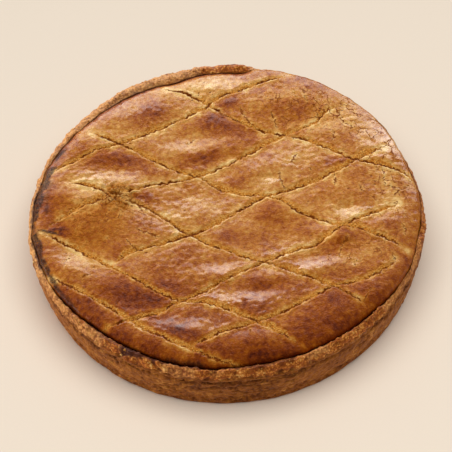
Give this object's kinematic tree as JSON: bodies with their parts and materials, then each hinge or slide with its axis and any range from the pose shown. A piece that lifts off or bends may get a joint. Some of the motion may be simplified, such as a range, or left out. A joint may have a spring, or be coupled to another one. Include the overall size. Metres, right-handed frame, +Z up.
{
  "type": "gateau basque",
  "caption": "Round uncut gateau basque with a low crust rim and a glazed lid scored into diamonds, resting on its flat base.",
  "frame": {"origin": "middle of the flat base, on the surface that the cake stands on", "axes": "+Z up, the cake's axis; +X the side that the picture shows on the right; -Y the side nearest the picture's camera"},
  "size_m": [0.221, 0.2242, 0.0389],
  "materials": {
    "baked_crust": "dry baked butter pastry, golden brown to dark brown, grainy and matte on the rim, the wall and the base",
    "glazed_lid": "egg-washed pastry, mottled golden to red-brown and softly glossy, with paler dry crumb in the scores and cracks"
  },
  "bodies": {
    "root": {"cake": "baked_crust"}
  },
  "joints": []
}
